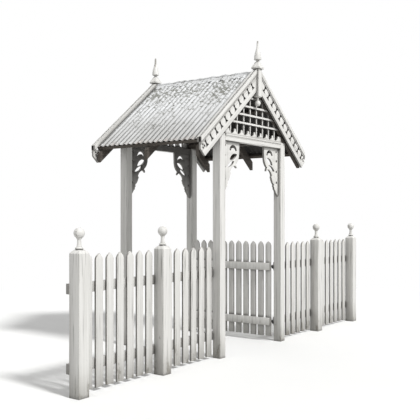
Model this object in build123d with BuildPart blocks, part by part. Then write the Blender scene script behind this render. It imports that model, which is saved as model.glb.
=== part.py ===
from build123d import *
from math import cos, degrees, radians, sin, sqrt, tan
import os

os.makedirs("parts", exist_ok=True)

# A timber lych gate with a gabled corrugated roof, a picket leaf and picket fences.
# X runs along the street, Y into the property and Z up. The origin is at ground level,
# midway between the four gatehouse posts. The leaf is drawn standing open.

# Gatehouse plan and posts
gate_width = 1360
gate_depth = 1420
post_side = 105
arris = 3

# Tie beams across the front and rear, and wall plates along the sides
beam_height = 75
beam_thickness = 75
moulding_height = 30
moulding_reach = 12
plate_height = 65

# Roof, measured down from the top of the bargeboard capping
pitch = radians(39)
ridge_top = 3415
eave_reach = 1175
cap_thickness = 43
corrugation_depth = 17
sheet_thickness = 1.5
batten_thickness = 38
batten_width = 50
rafter_depth = 90
rafter_thickness = 45
rafter_reach = 1130
rafter_notch = 42
ridge_board_thickness = 25
ridge_board_depth = 140
corrugations = 21
facets_per_wave = 6
sheet_start = 105
batten_steps = (170, 640, 1110, 1440)
sheet_reach = 1168
wing_reach = 105
wing_thickness = 2
roll_radius = 16

# Bargeboards, pierced between a chain of discs that hang in a band
barge_thickness = 26
barge_gap = 28
barge_depth = 268
barge_end_cut = 130
barge_tip_inset = 80
cap_overhang = 9
piercings = 11
disc_neck = 20
band_share = 0.88
chain_start = 185
chain_end_inset = 127
chain_depth = 136
leaf_hole_radius = 13
leaf_hole_spread = 20
leaf_hole_inset = 64

# Finials, their heights set from the ridge
finial_side = 77
finial_drop = 371
finial_foot_chamfer = 12
finial_shoulder_drop = 19
finial_head = 114
finial_plinth = 12
finial_pyramid = 66
finial_neck_radius = 22
finial_neck_height = 26
finial_bell_radius = 45
finial_bell_height = 140
finial_spike_radius = 9
finial_tip_radius = 3
finial_rise = 315
pendant_radius = 36
pendant_drop = 71
pendant_neck_radius = 12
turned_sides = 12
bow_steps = 4

# Gable lattice, its slats set up from the tie beam
slat_rises = (159, 262, 365, 473)
slat_height = 23
slat_thickness = 18
lattice_batten_width = 20
lattice_pitch = 142
lattice_battens = 8
cusp_height = 72
notch_radius = 56

# Fretwork brackets
bracket_reach = 350
bracket_drop = 615
bracket_thickness = 28
eyelet_radius = 15

# Fence
inner_bay = 1020
outer_bay = 1160
fence_post_side = 125
fence_post_spring = 1276
fence_post_rise = 41
ball_radius = 50
ball_centre = 1458
neck_radius = 24
neck_collar_radius = 38
neck_collar_height = 14
neck_collar_bevel = 4
picket_width = 95
picket_thickness = 20
picket_top = 1270
picket_clear = 30
inner_bay_pickets = 6
outer_bay_pickets = 7
point_rise = 62
rail_thickness = 40
rail_height = 95
rail_tops = (300, 1010)
rail_bearing = 50

# Gate leaf and its pin hinges
hinge_gap = 6
latch_gap = 15
leaf_pickets = 11
leaf_picket_width = 80
leaf_clear = 64
leaf_picket_top = 1290
pin_radius = 5
pin_fit = 0.08
eye_wall = 4
pin_stand_off = 14
pin_rise = 8
hinge_height = 30
hinge_slack = 1
strap_length = 420
strap_thickness = 4
strap_tip = 16
lug_height = 12
hinge_plate_thickness = 4
hinge_plate_width = 44
hinge_plate_height = 110

# Derived plan positions
post_x = gate_width / 2
post_y = gate_depth / 2
post_half = post_side / 2
inner_x = post_x - post_half
outer_x = post_x + post_half
face_y = post_y + post_half
back_y = post_y - post_half
slope = tan(pitch)


def roof_drop(depth):
    """Vertical distance that matches a depth measured square to the roof slope."""
    return depth / cos(pitch)


def roof_z(x, depth=0):
    """Height at x of the line that lies a given depth under the roof's top plane."""
    return ridge_top - roof_drop(depth) - abs(x) * slope


crest_depth = cap_thickness
trough_depth = crest_depth + corrugation_depth + sheet_thickness
rafter_top_depth = trough_depth + batten_thickness
rafter_foot_depth = rafter_top_depth + rafter_depth
barge_back_y = face_y + barge_gap
barge_front_y = barge_back_y + barge_thickness
barge_mid_y = (barge_back_y + barge_front_y) / 2
finial_back_y = barge_mid_y - finial_side / 2

# Derived heights, down from the rafters to the beams
plate_top = roof_z(outer_x, rafter_foot_depth) + rafter_notch
post_top = plate_top - plate_height
beam_foot = post_top - beam_height
finial_foot = ridge_top - finial_drop
finial_shoulder = ridge_top - finial_shoulder_drop
finial_tip = ridge_top + finial_rise
pendant_centre = finial_foot - pendant_drop


def slope_plane(along, depth):
    """Plane on the right roof slope, X down the slope and Z square out of it."""
    down = Vector(cos(pitch), 0, -sin(pitch))
    out = Vector(sin(pitch), 0, cos(pitch))
    top = Vector(0, 0, ridge_top)
    return Plane(origin=top + down * along - out * depth, x_dir=down, z_dir=out)


def ring(radius, level):
    """Corners of one level ring of a turned shape."""
    steps = [radians(360 * (n + 0.5) / turned_sides) for n in range(turned_sides)]
    return [(radius * cos(a), radius * sin(a), level) for a in steps]


def turned(profile):
    """Turned shape through (radius, height) pairs, with narrow flats all round."""
    with BuildPart() as shape:
        for lower, upper in zip(profile, profile[1:]):
            ConvexPolyhedron(ring(*lower) + ring(*upper))
    return shape.part


def ball(radius, centre, angles=(-60, -30, 0, 30, 60, 85)):
    """Profile of a ball, from its foot to its crown."""
    return [(radius * cos(radians(a)), centre + radius * sin(radians(a))) for a in angles]


def arcs(*points):
    """Points along arcs that join end to end, each one given by its start, middle and end."""
    line = [points[0]]
    for start, middle, end in zip(points[::2], points[1::2], points[2::2]):
        arc = ThreePointArc(start, middle, end)
        line += [arc @ (n / bow_steps) for n in range(1, bow_steps + 1)]
    return line


# Gatehouse posts
def gatehouse_post(x, y):
    with Locations((x, y, 0)):
        Box(post_side, post_side, post_top, align=(Align.CENTER, Align.CENTER, Align.MIN))


with BuildPart() as post_front_left:
    gatehouse_post(-post_x, -post_y)
    chamfer(post_front_left.edges().filter_by(Axis.Z), arris)

with BuildPart() as post_front_right:
    gatehouse_post(post_x, -post_y)
    chamfer(post_front_right.edges().filter_by(Axis.Z), arris)

with BuildPart() as post_rear_left:
    gatehouse_post(-post_x, post_y)
    chamfer(post_rear_left.edges().filter_by(Axis.Z), arris)

with BuildPart() as post_rear_right:
    gatehouse_post(post_x, post_y)
    chamfer(post_rear_right.edges().filter_by(Axis.Z), arris)


# Tie beams, flush with the outer faces of the posts, with a moulding along the top
with BuildPart() as tie_beam_front:
    with BuildSketch(Plane.YZ.offset(-inner_x)):
        with BuildLine():
            Polyline(
                (-face_y, beam_foot),
                (-face_y + beam_thickness, beam_foot),
                (-face_y + beam_thickness, post_top),
                (-face_y - moulding_reach, post_top),
                (-face_y - moulding_reach, post_top - moulding_height / 2),
                (-face_y, post_top - moulding_height),
                close=True,
            )
        make_face()
    extrude(amount=2 * inner_x)

with BuildPart() as tie_beam_rear:
    mirror(tie_beam_front.part, about=Plane.XZ)

with BuildPart() as wall_plate_right:
    with Locations((post_x, 0, post_top)):
        Box(post_side, 2 * face_y, plate_height, align=(Align.CENTER, Align.CENTER, Align.MIN))

with BuildPart() as wall_plate_left:
    mirror(wall_plate_right.part, about=Plane.YZ)


# Rafters in three pairs, notched over the wall plates
seat_x = (ridge_top - roof_drop(rafter_foot_depth) - plate_top) / slope
ridge_half = ridge_board_thickness / 2

with BuildPart() as rafters:
    for y in (-face_y + rafter_thickness / 2, 0, face_y - rafter_thickness / 2):
        with BuildSketch(Plane.XZ.offset(-y)):
            with BuildLine():
                Polyline(
                    (ridge_half, roof_z(ridge_half, rafter_top_depth)),
                    (rafter_reach, roof_z(rafter_reach, rafter_top_depth)),
                    (rafter_reach, roof_z(rafter_reach, rafter_foot_depth)),
                    (outer_x, roof_z(outer_x, rafter_foot_depth)),
                    (outer_x, plate_top),
                    (seat_x, plate_top),
                    (ridge_half, roof_z(ridge_half, rafter_foot_depth)),
                    close=True,
                )
            make_face()
        extrude(amount=rafter_thickness / 2, both=True)
    mirror(about=Plane.YZ)

with BuildPart() as ridge_board:
    with Locations((0, 0, roof_z(ridge_half, rafter_top_depth))):
        Box(
            ridge_board_thickness,
            2 * finial_back_y,
            ridge_board_depth,
            align=(Align.CENTER, Align.CENTER, Align.MAX),
        )

with BuildPart() as roof_battens:
    for step in batten_steps:
        with Locations(slope_plane(step, trough_depth)):
            Box(
                batten_width,
                2 * barge_back_y,
                batten_thickness,
                align=(Align.CENTER, Align.CENTER, Align.MAX),
            )
    mirror(about=Plane.YZ)


# Corrugated sheets, each wave drawn with a few flats
wave = 2 * barge_back_y / corrugations
down_slope = Plane(
    origin=slope_plane(sheet_start, crest_depth + corrugation_depth / 2).origin,
    x_dir=(0, 1, 0),
    z_dir=slope_plane(0, 0).x_dir,
)

facet = wave / facets_per_wave
crest_line = [
    (
        -barge_back_y + n * facet,
        corrugation_depth / 2 * sin(radians(360 * (n + 0.5) / facets_per_wave)),
    )
    for n in range(corrugations * facets_per_wave + 1)
]
soffit_line = [(y, height - sheet_thickness) for y, height in reversed(crest_line)]

with BuildPart() as roof_sheet_right:
    with BuildSketch(down_slope):
        with BuildLine():
            Polyline(*crest_line, *soffit_line, close=True)
        make_face()
    extrude(amount=sheet_reach / cos(pitch) - sheet_start)

with BuildPart() as roof_sheet_left:
    mirror(roof_sheet_right.part, about=Plane.YZ)


# Ridge capping, two wings on the sheets and a roll on top
with BuildPart() as ridge_capping:
    with BuildSketch(Plane.XZ.offset(-finial_back_y)):
        with BuildLine():
            Polyline(
                (-wing_reach, roof_z(wing_reach, crest_depth)),
                (0, roof_z(0, crest_depth)),
                (wing_reach, roof_z(wing_reach, crest_depth)),
                (wing_reach, roof_z(wing_reach, crest_depth - wing_thickness)),
                (0, roof_z(0, crest_depth - wing_thickness)),
                (-wing_reach, roof_z(wing_reach, crest_depth - wing_thickness)),
                close=True,
            )
        make_face()
        with Locations((0, roof_z(0, crest_depth))):
            RegularPolygon(roll_radius, turned_sides)
            RegularPolygon(roll_radius - wing_thickness, turned_sides, mode=Mode.SUBTRACT)
    extrude(amount=2 * finial_back_y)


# Bargeboards, pierced along the slope, with a capping over the sheet's edge
barge_start = finial_side / 2


eave_along = eave_reach / cos(pitch)
disc_pitch = (eave_along - chain_end_inset - chain_start) / (piercings - 1)
disc_radius = (disc_pitch - disc_neck) / 2
band_half = disc_radius * band_share


def disc_edge(height):
    """Half width of the gap between two discs, at a height off their centre line."""
    return disc_pitch / 2 - sqrt(disc_radius**2 - height**2)


gap_heights = (band_half, band_half * 0.5, -band_half * 0.5, -band_half)
gap_right = [(disc_edge(height), height) for height in gap_heights]
gap_left = [(-across, height) for across, height in reversed(gap_right)]

with BuildSketch() as gap_face:
    with BuildLine():
        Polyline(*gap_right, *gap_left, close=True)
    make_face()
disc_gap = gap_face.sketch

with BuildSketch() as leaf_face:
    with PolarLocations(leaf_hole_spread, 3, start_angle=90):
        RegularPolygon(leaf_hole_radius, 6)
leaf_holes = leaf_face.sketch

barge_tip = eave_reach - barge_tip_inset

with BuildPart() as bargeboard_front_right:
    with BuildSketch(Plane.XZ.offset(barge_back_y)):
        with BuildLine():
            Polyline(
                (barge_start, roof_z(barge_start)),
                (eave_reach, roof_z(eave_reach)),
                (eave_reach, roof_z(eave_reach) - barge_end_cut),
                (barge_tip, roof_z(barge_tip) - barge_depth),
                (barge_start, roof_z(barge_start) - barge_depth),
                close=True,
            )
        make_face()
        for n in range(piercings):
            across = (chain_start + n * disc_pitch) * cos(pitch)
            with Locations((across, roof_z(across) - chain_depth)):
                add(disc_gap, rotation=-degrees(pitch), mode=Mode.SUBTRACT)
        across = (eave_along - leaf_hole_inset) * cos(pitch)
        with Locations((across, roof_z(across) - chain_depth)):
            add(leaf_holes, rotation=-degrees(pitch), mode=Mode.SUBTRACT)
    extrude(amount=barge_thickness)
    with BuildSketch(Plane.XZ.offset(finial_back_y)):
        with BuildLine():
            Polyline(
                (barge_start, roof_z(barge_start)),
                (eave_reach, roof_z(eave_reach)),
                (eave_reach, roof_z(eave_reach, cap_thickness)),
                (barge_start, roof_z(barge_start, cap_thickness)),
                close=True,
            )
        make_face()
    extrude(amount=barge_front_y - finial_back_y + cap_overhang)

with BuildPart() as bargeboard_front_left:
    mirror(bargeboard_front_right.part, about=Plane.YZ)

with BuildPart() as bargeboard_rear_right:
    mirror(bargeboard_front_right.part, about=Plane.XZ)

with BuildPart() as bargeboard_rear_left:
    mirror(bargeboard_front_left.part, about=Plane.XZ)


# Finials, a square post with a pyramid head, a bell and spike above and a ball hanging below
head_foot = finial_shoulder + finial_plinth
head_top = head_foot + finial_pyramid
bell_foot = head_top + finial_neck_height
bell_top = bell_foot + finial_bell_height
pendant_ball = ball(pendant_radius, pendant_centre, (60, 30, 0, -30, -60))

spire = turned(
    [
        (finial_neck_radius, head_top - finial_neck_height),
        (finial_neck_radius, bell_foot - finial_neck_height / 4),
        (finial_bell_radius, bell_foot),
        (finial_bell_radius * 0.9, bell_foot + finial_bell_height * 0.4),
        (finial_spike_radius * 1.5, bell_top),
        (finial_spike_radius, bell_top + (finial_tip - bell_top) * 0.6),
        (finial_tip_radius, finial_tip),
    ]
)
pendant = turned(
    [
        (pendant_neck_radius * 1.5, finial_foot),
        (pendant_neck_radius, pendant_centre + pendant_radius),
        *pendant_ball,
    ]
)

with BuildPart() as finial_front:
    with Locations((0, 0, finial_foot)):
        Box(
            finial_side,
            finial_side,
            finial_shoulder - finial_foot,
            align=(Align.CENTER, Align.CENTER, Align.MIN),
        )
    chamfer(finial_front.faces().sort_by(Axis.Z)[0].edges(), finial_foot_chamfer)
    with BuildSketch(Plane.XY.offset(finial_shoulder)):
        Rectangle(finial_head, finial_head)
    extrude(amount=finial_plinth)
    with BuildSketch(Plane.XY.offset(head_foot)):
        Rectangle(finial_head, finial_head)
    with BuildSketch(Plane.XY.offset(head_top)):
        Rectangle(2 * finial_neck_radius, 2 * finial_neck_radius)
    loft()
    add(spire)
    add(pendant)
    finial_front.part = Pos(0, -barge_mid_y, 0) * finial_front.part

with BuildPart() as finial_rear:
    mirror(finial_front.part, about=Plane.XZ)


# Gable lattice between the tie beam and the end rafters
apex_z = roof_z(ridge_half, rafter_top_depth) - ridge_board_depth
apex_x = (ridge_top - roof_drop(rafter_foot_depth) - apex_z) / slope


with BuildPart() as gable_lattice_front:
    with BuildSketch(Plane.XZ.offset(face_y)):
        for rise in slat_rises:
            with Locations((0, post_top + rise)):
                Rectangle(2 * inner_x, slat_height)
    extrude(amount=-slat_thickness)
    with BuildSketch(Plane.XZ.offset(face_y - slat_thickness)):
        for n in range(lattice_battens):
            with Locations(((n - (lattice_battens - 1) / 2) * lattice_pitch, post_top)):
                Rectangle(lattice_batten_width, ridge_top - post_top, align=(Align.CENTER, Align.MIN))
    extrude(amount=-slat_thickness)
    with BuildSketch(Plane.XZ.offset(face_y)):
        with BuildLine():
            Polyline(
                (-inner_x, post_top),
                (inner_x, post_top),
                (inner_x, roof_z(inner_x, rafter_foot_depth)),
                (apex_x, apex_z),
                (-apex_x, apex_z),
                (-inner_x, roof_z(inner_x, rafter_foot_depth)),
                close=True,
            )
        make_face()
    extrude(amount=-2 * slat_thickness, mode=Mode.INTERSECT)
    with BuildSketch(Plane.XZ.offset(face_y)):
        with Locations((0, post_top)):
            Rectangle(2 * inner_x, cusp_height, align=(Align.CENTER, Align.MIN))
        for n in range(lattice_battens):
            with Locations(((n - (lattice_battens - 1) / 2) * lattice_pitch, post_top + cusp_height)):
                RegularPolygon(notch_radius, 12, mode=Mode.SUBTRACT)
    extrude(amount=-slat_thickness)

with BuildPart() as gable_lattice_rear:
    mirror(gable_lattice_front.part, about=Plane.XZ)


# Fretwork brackets, drawn from the corner between post and beam
def spot(across, down):
    """Point on a bracket, as shares of its reach and its drop."""
    return (across * bracket_reach, -down * bracket_drop)


# The lower edge sweeps in from the beam to a hooked cusp, then steps down a beaded tail
scroll = arcs(
    spot(0.98, 0.23),
    spot(0.92, 0.34),
    spot(0.77, 0.425),
    spot(0.82, 0.453),
    spot(0.83, 0.497),
    spot(0.72, 0.457),
    spot(0.62, 0.468),
    spot(0.50, 0.518),
    spot(0.445, 0.582),
    spot(0.48, 0.604),
    spot(0.457, 0.632),
    spot(0.395, 0.707),
    spot(0.285, 0.764),
    spot(0.31, 0.793),
    spot(0.263, 0.818),
    spot(0.27, 0.85),
    spot(0.217, 0.871),
    spot(0.137, 0.936),
    spot(0, 1),
)
arch_hole = arcs(spot(0.40, 0.164), spot(0.61, 0.06), spot(0.83, 0.164)) + arcs(
    spot(0.75, 0.175), spot(0.61, 0.115), spot(0.475, 0.175)
)
upper_leaf = arcs(
    spot(0.85, 0.236), spot(0.605, 0.236), spot(0.40, 0.364), spot(0.65, 0.336), spot(0.85, 0.236)
)
lower_leaf = arcs(
    spot(0.675, 0.37), spot(0.435, 0.396), spot(0.263, 0.487), spot(0.48, 0.468), spot(0.675, 0.37)
)
eyelets = [spot(0.143, 0.082), spot(0.126, 0.27), spot(0.126, 0.49), spot(0.12, 0.715)]

with BuildPart() as bracket_front_left:
    corner = Plane(origin=(-inner_x, -post_y, beam_foot), x_dir=(1, 0, 0), z_dir=(0, -1, 0))
    with BuildSketch(corner):
        with BuildLine():
            Polyline((0, 0), (bracket_reach, 0), *scroll, close=True)
        make_face()
        for hole in (arch_hole, upper_leaf[:-1], lower_leaf[:-1]):
            with BuildLine():
                Polyline(*hole, close=True)
            make_face(mode=Mode.SUBTRACT)
        with Locations(*eyelets):
            RegularPolygon(eyelet_radius, 8, mode=Mode.SUBTRACT)
    extrude(amount=bracket_thickness / 2, both=True)

with BuildPart() as bracket_front_right:
    mirror(bracket_front_left.part, about=Plane.YZ)

with BuildPart() as bracket_rear_left:
    mirror(bracket_front_left.part, about=Plane.XZ)

with BuildPart() as bracket_rear_right:
    mirror(bracket_front_right.part, about=Plane.XZ)


# Fence posts, rear faces in line with those of the front gatehouse posts
fence_half = fence_post_side / 2
fence_y = back_y + fence_half
inner_post = post_x + inner_bay
outer_post = inner_post + outer_bay

dome = fence_post_spring + fence_post_rise
knob = turned(
    [
        (neck_radius, fence_post_spring),
        (neck_radius, dome - neck_collar_bevel),
        (neck_collar_radius, dome),
        (neck_collar_radius, dome + neck_collar_height),
        (neck_radius, dome + neck_collar_height + neck_collar_bevel),
        (neck_radius * 0.8, ball_centre - ball_radius),
        *ball(ball_radius, ball_centre),
    ]
)

with BuildPart() as fence_post_right_inner:
    for side in (Plane.XZ, Plane.YZ):
        with BuildSketch(side):
            with BuildLine():
                Polyline(
                    (-fence_half, 0),
                    (fence_half, 0),
                    (fence_half, fence_post_spring),
                    (fence_half * 0.7, fence_post_spring + fence_post_rise * 0.62),
                    (0, dome),
                    (-fence_half * 0.7, fence_post_spring + fence_post_rise * 0.62),
                    (-fence_half, fence_post_spring),
                    close=True,
                )
            make_face()
        crossing = Mode.ADD if side == Plane.XZ else Mode.INTERSECT
        extrude(amount=fence_half, both=True, mode=crossing)
    add(knob)
    fence_post_right_inner.part = Pos(inner_post, -fence_y, 0) * fence_post_right_inner.part

with BuildPart() as fence_post_right_outer:
    add(Pos(outer_bay, 0, 0) * fence_post_right_inner.part)

with BuildPart() as fence_post_left_inner:
    mirror(fence_post_right_inner.part, about=Plane.YZ)

with BuildPart() as fence_post_left_outer:
    mirror(fence_post_right_outer.part, about=Plane.YZ)


# Pickets with pointed arch tops
def picket(width, foot, top):
    """Face of one picket, centred on its own width."""
    half = width / 2
    curve = [
        (half, top - point_rise),
        (half * 0.84, top - point_rise * 0.6),
        (half * 0.5, top - point_rise * 0.24),
        (0, top),
    ]
    with BuildSketch() as face:
        with BuildLine():
            Polyline((0, foot), (half, foot), *curve, close=True)
        make_face()
        mirror(about=Plane.YZ)
    return face.sketch


def fence_panel(left, right, rail_left, rail_right, pickets):
    """Pickets between two posts, on rails that are fixed across the posts' rear faces."""
    gap = (right - left - pickets * picket_width) / (pickets + 1)
    with BuildPart() as panel:
        with BuildSketch(Plane.XZ.offset(back_y)):
            for n in range(pickets):
                centre = left + gap + picket_width / 2 + n * (picket_width + gap)
                with Locations((centre, 0)):
                    add(picket(picket_width, picket_clear, picket_top))
        extrude(amount=picket_thickness)
        for top in rail_tops:
            with Locations((rail_left, -back_y, top)):
                Box(
                    rail_right - rail_left,
                    rail_thickness,
                    rail_height,
                    align=(Align.MIN, Align.MIN, Align.MAX),
                )
    return panel.part


inner_panel = fence_panel(
    outer_x, inner_post - fence_half, outer_x - rail_bearing, inner_post, inner_bay_pickets
)
outer_panel = fence_panel(
    inner_post + fence_half,
    outer_post - fence_half,
    inner_post,
    outer_post + fence_half,
    outer_bay_pickets,
)

with BuildPart() as fence_panel_right_inner:
    add(inner_panel)

with BuildPart() as fence_panel_right_outer:
    add(outer_panel)

with BuildPart() as fence_panel_left_inner:
    mirror(fence_panel_right_inner.part, about=Plane.YZ)

with BuildPart() as fence_panel_left_outer:
    mirror(fence_panel_right_outer.part, about=Plane.YZ)


# Gate leaf, standing open along the right side. The pin line is behind the right post.
pin_x = inner_x - hinge_gap
pin_y = -back_y + pin_stand_off
leaf_length = 2 * inner_x - 2 * hinge_gap - latch_gap
leaf_start = pin_y + hinge_gap
picket_face = pin_x - pin_stand_off
leaf_gap = (leaf_length - leaf_pickets * leaf_picket_width) / (leaf_pickets - 1)

with BuildPart() as gate_leaf:
    with BuildSketch(Plane.YZ.offset(picket_face - picket_thickness)):
        for n in range(leaf_pickets):
            centre = leaf_start + leaf_picket_width / 2 + n * (leaf_picket_width + leaf_gap)
            with Locations((centre, 0)):
                add(picket(leaf_picket_width, leaf_clear, leaf_picket_top))
    extrude(amount=picket_thickness)
    for top in rail_tops:
        with Locations((picket_face - picket_thickness, leaf_start, top)):
            Box(
                rail_thickness,
                leaf_length,
                rail_height,
                align=(Align.MAX, Align.MIN, Align.MAX),
            )

eye_radius = pin_radius + pin_fit + eye_wall
hinge_levels = [top - rail_height / 2 for top in rail_tops]

with BuildPart() as hinge_straps:
    for level in hinge_levels:
        with BuildSketch(Plane.YZ.offset(picket_face)):
            with BuildLine():
                Polyline(
                    (leaf_start, level - hinge_height / 2),
                    (leaf_start + strap_length, level - strap_tip / 2),
                    (leaf_start + strap_length, level + strap_tip / 2),
                    (leaf_start, level + hinge_height / 2),
                    close=True,
                )
            make_face()
        extrude(amount=strap_thickness)
        with BuildSketch(Plane.XY.offset(level - hinge_height / 2)):
            with BuildLine():
                Polyline(
                    (picket_face, leaf_start),
                    (picket_face + strap_thickness, leaf_start),
                    (pin_x + eye_radius, pin_y),
                    (pin_x, pin_y - eye_radius),
                    close=True,
                )
            make_face()
            with Locations((pin_x, pin_y)):
                Circle(eye_radius)
                Circle(pin_radius + pin_fit, mode=Mode.SUBTRACT)
        extrude(amount=hinge_height)

with BuildPart() as hinge_pins:
    for level in hinge_levels:
        lug_top = level - hinge_height / 2 - hinge_slack
        with Locations((pin_x, pin_y, lug_top - lug_height)):
            Cylinder(
                pin_radius,
                lug_height + hinge_slack + hinge_height + pin_rise,
                align=(Align.CENTER, Align.CENTER, Align.MIN),
            )
        with BuildSketch(Plane.XY.offset(lug_top)):
            with Locations((pin_x, pin_y)):
                Circle(eye_radius)
            with BuildLine():
                Polyline(
                    (pin_x, pin_y - eye_radius),
                    (pin_x + eye_radius, pin_y),
                    (inner_x + hinge_plate_width, -back_y + hinge_plate_thickness),
                    (inner_x + arris, -back_y + hinge_plate_thickness),
                    close=True,
                )
            make_face()
        extrude(amount=-lug_height)
        with Locations((inner_x + arris, -back_y, level)):
            Box(
                hinge_plate_width,
                hinge_plate_thickness,
                hinge_plate_height,
                align=(Align.MIN, Align.MIN, Align.CENTER),
            )

pieces = {
    "post_front_left": post_front_left,
    "post_front_right": post_front_right,
    "post_rear_left": post_rear_left,
    "post_rear_right": post_rear_right,
    "tie_beam_front": tie_beam_front,
    "tie_beam_rear": tie_beam_rear,
    "wall_plate_left": wall_plate_left,
    "wall_plate_right": wall_plate_right,
    "rafters": rafters,
    "ridge_board": ridge_board,
    "roof_battens": roof_battens,
    "roof_sheet_left": roof_sheet_left,
    "roof_sheet_right": roof_sheet_right,
    "ridge_capping": ridge_capping,
    "bargeboard_front_left": bargeboard_front_left,
    "bargeboard_front_right": bargeboard_front_right,
    "bargeboard_rear_left": bargeboard_rear_left,
    "bargeboard_rear_right": bargeboard_rear_right,
    "finial_front": finial_front,
    "finial_rear": finial_rear,
    "gable_lattice_front": gable_lattice_front,
    "gable_lattice_rear": gable_lattice_rear,
    "bracket_front_left": bracket_front_left,
    "bracket_front_right": bracket_front_right,
    "bracket_rear_left": bracket_rear_left,
    "bracket_rear_right": bracket_rear_right,
    "fence_post_left_inner": fence_post_left_inner,
    "fence_post_left_outer": fence_post_left_outer,
    "fence_post_right_inner": fence_post_right_inner,
    "fence_post_right_outer": fence_post_right_outer,
    "fence_panel_left_inner": fence_panel_left_inner,
    "fence_panel_left_outer": fence_panel_left_outer,
    "fence_panel_right_inner": fence_panel_right_inner,
    "fence_panel_right_outer": fence_panel_right_outer,
    "gate_leaf": gate_leaf,
    "hinge_straps": hinge_straps,
    "hinge_pins": hinge_pins,
}

for label, piece in pieces.items():
    piece.part.label = label
    export_step(piece.part, f"parts/{label}.step")
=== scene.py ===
"""Looks of a painted timber lych gate: fretwork, corrugated roof, picket fence and leaf.

Lengths are in metres. X runs along the street, Y into the garden and Z up.
"""

import math
import random

import bmesh
import bpy
from mathutils import Matrix, Vector, noise


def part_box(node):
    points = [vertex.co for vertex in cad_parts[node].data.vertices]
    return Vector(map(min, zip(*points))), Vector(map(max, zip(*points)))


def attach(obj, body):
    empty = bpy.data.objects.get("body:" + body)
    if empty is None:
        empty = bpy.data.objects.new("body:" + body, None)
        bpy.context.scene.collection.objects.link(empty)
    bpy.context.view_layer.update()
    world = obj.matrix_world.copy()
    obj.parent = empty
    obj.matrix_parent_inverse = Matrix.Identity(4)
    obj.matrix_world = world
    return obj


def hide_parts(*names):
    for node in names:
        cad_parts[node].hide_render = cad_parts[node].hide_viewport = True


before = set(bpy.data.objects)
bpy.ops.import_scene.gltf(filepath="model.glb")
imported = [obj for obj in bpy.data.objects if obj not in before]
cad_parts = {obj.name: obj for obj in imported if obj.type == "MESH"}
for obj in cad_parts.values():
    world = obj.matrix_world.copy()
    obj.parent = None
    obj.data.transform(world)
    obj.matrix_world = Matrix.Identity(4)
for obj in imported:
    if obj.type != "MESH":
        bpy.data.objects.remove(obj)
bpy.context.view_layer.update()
random.seed(7)

GATEHOUSE = "gatehouse"
LEAF = "leaf"

# Sizes read from the frame
post_low, post_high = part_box("post_front_right")
POST_X = (post_low.x + post_high.x) / 2
POST_Y = -(post_low.y + post_high.y) / 2
POST_SIDE = post_high.x - post_low.x
INNER_X = POST_X - POST_SIDE / 2
OUTER_X = POST_X + POST_SIDE / 2
FACE_Y = POST_Y + POST_SIDE / 2
BACK_Y = POST_Y - POST_SIDE / 2
POST_TOP = post_high.z
BEAM_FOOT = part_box("tie_beam_front")[0].z
barge_low, barge_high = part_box("bargeboard_front_right")
EAVE_X = barge_high.x
FINIAL_HALF = barge_low.x
CAP_FRONT_Y = -barge_low.y
finial_low, finial_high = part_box("finial_front")
FINIAL_Y = -(finial_low.y + finial_high.y) / 2
FINIAL_TIP = finial_high.z
PENDANT_FOOT = finial_low.z
ridge_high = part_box("ridge_capping")[1]
sheet_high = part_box("roof_sheet_right")[1]
BARGE_BACK_Y = sheet_high.y
BOX_MARGIN = 0.001
EAVE_SHEET_X = sheet_high.x - BOX_MARGIN

# Roof, measured down from the top of the bargeboard capping
PITCH = math.radians(39)
SLOPE = math.tan(PITCH)
RIDGE_TOP = barge_high.z + FINIAL_HALF * SLOPE
CAP_THICKNESS = 0.043
CORRUGATION = 0.017
SHEET_THICKNESS = 0.0012
SOLID_SHEET_THICKNESS = 0.0015
BATTEN_THICKNESS = 0.038
RAFTER_DEPTH = 0.090
SHEET_UNDERSIDE = CAP_THICKNESS + CORRUGATION + SOLID_SHEET_THICKNESS
RAFTER_UNDERSIDE = SHEET_UNDERSIDE + BATTEN_THICKNESS + RAFTER_DEPTH
EASE = 0.002
WELD_REACH = 0.00005
SOLID_WELD_REACH = 0.00001


def roof_z(x, depth=0.0):
    """Height at x of the line a given depth under the roof's top plane."""
    return RIDGE_TOP - depth / math.cos(PITCH) - abs(x) * SLOPE


# Placing
def upright(origin, toward):
    """Plane standing upright, seen from the side it faces, X to its right and Y up."""
    out = Vector(toward)
    up = Vector((0, 0, 1))
    right = up.cross(out)
    return Matrix.Translation(origin) @ Matrix((right, up, out)).transposed().to_4x4()


def add_object(name, data):
    """New object in the scene."""
    made = bpy.data.objects.new(name, data)
    bpy.context.scene.collection.objects.link(made)
    return made


# Meshes
def finished(shape):
    """Mesh from a bmesh, which is freed."""
    mesh = bpy.data.meshes.new("part")
    shape.to_mesh(mesh)
    shape.free()
    return mesh


def board_mesh(size, centre, ease):
    """Sawn board with eased edges."""
    shape = bmesh.new()
    bmesh.ops.create_cube(shape, size=1)
    bmesh.ops.scale(shape, vec=size, verts=shape.verts)
    bmesh.ops.bevel(
        shape, geom=shape.edges[:], offset=ease, segments=2, profile=0.5, affect="EDGES"
    )
    bmesh.ops.translate(shape, vec=centre, verts=shape.verts)
    return finished(shape)


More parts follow.
